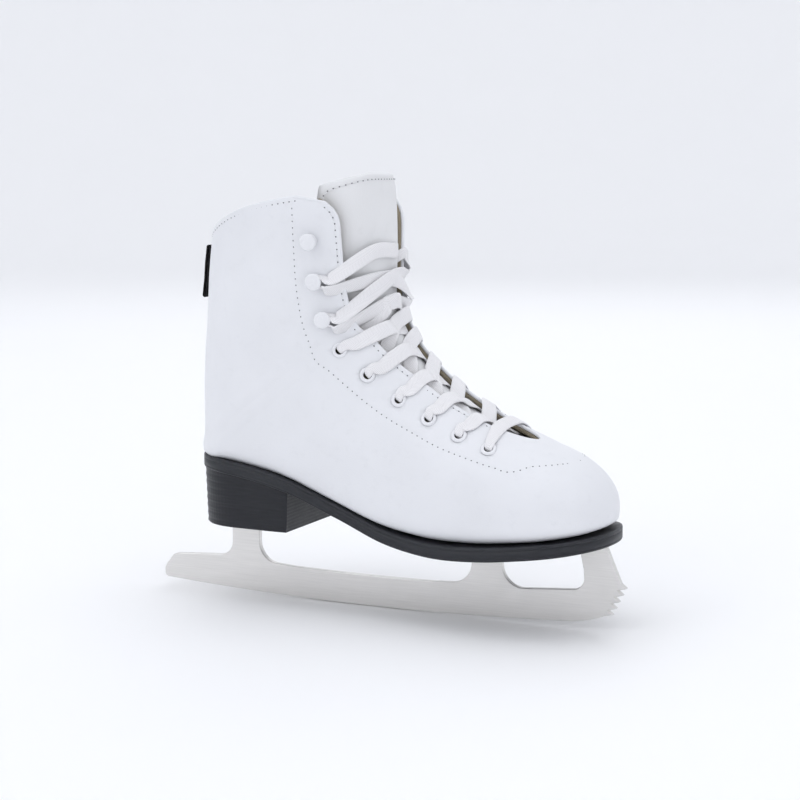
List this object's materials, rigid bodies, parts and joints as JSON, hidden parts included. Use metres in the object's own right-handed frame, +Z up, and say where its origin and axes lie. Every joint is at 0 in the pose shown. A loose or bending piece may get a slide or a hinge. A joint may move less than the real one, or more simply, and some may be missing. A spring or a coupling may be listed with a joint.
{
  "type": "figure skate",
  "caption": "White lace-up figure skate with a black heeled sole and a one-piece steel blade with a toothed toe pick.",
  "frame": {"origin": "on the ice, under the middle of the blade", "axes": "+X toe, +Y inner side of the foot, +Z up"},
  "size_m": [0.303, 0.0904, 0.2603],
  "materials": {
    "white_leather": "smooth",
    "tongue_leather": "smooth",
    "tan_lining": "woven",
    "foam": "matt",
    "facing": "matt",
    "fibreboard": "matt",
    "black_webbing": "woven",
    "footbed_cloth": "woven",
    "black_sole": "satin",
    "black_heel": "satin",
    "blade_steel": "satin",
    "steel": "satin",
    "screw_steel": "satin",
    "white_enamel": "gloss",
    "white_lace": "woven",
    "aglet_plastic": "gloss"
  },
  "bodies": {
    "boot": {"upper": "white_leather", "lining": "tan_lining", "ankle_padding": "foam", "eyestay_lateral": "facing", "eyestay_medial": "facing", "heel_counter": "fibreboard", "toe_puff": "fibreboard", "backstay": "white_leather", "pull_loop": "black_webbing", "tongue_cover": "tongue_leather", "tongue_padding": "foam", "insole_board": "fibreboard", "shank": "steel", "footbed": "footbed_cloth", "outsole": "black_sole", "heel_block": "black_heel", "blade": "blade_steel", "sole_plate": "steel", "heel_plate": "steel", "sole_screws": "screw_steel", "heel_screws": "screw_steel", "eyelets_lateral": "white_enamel", "eyelets_medial": "white_enamel", "hook_lateral_1": "white_enamel", "hook_lateral_2": "white_enamel", "hook_lateral_3": "white_enamel", "hook_medial_1": "white_enamel", "hook_medial_2": "white_enamel", "hook_medial_3": "white_enamel", "hook_rivets": "steel", "lace": "white_lace", "aglets": "aglet_plastic"},
    "tongue_top": {"tongue_flap": "tongue_leather", "tongue_flap_padding": "foam"}
  },
  "joints": [
    {"name": "tongue_fold", "type": "hinge", "parent": "boot", "child": "tongue_top", "pos_m": [-0.004, 0, 0.2455], "axis": [0, 1, 0], "range_deg": [0, 20], "stiffness_Nm_per_rad": 0.15}
  ]
}
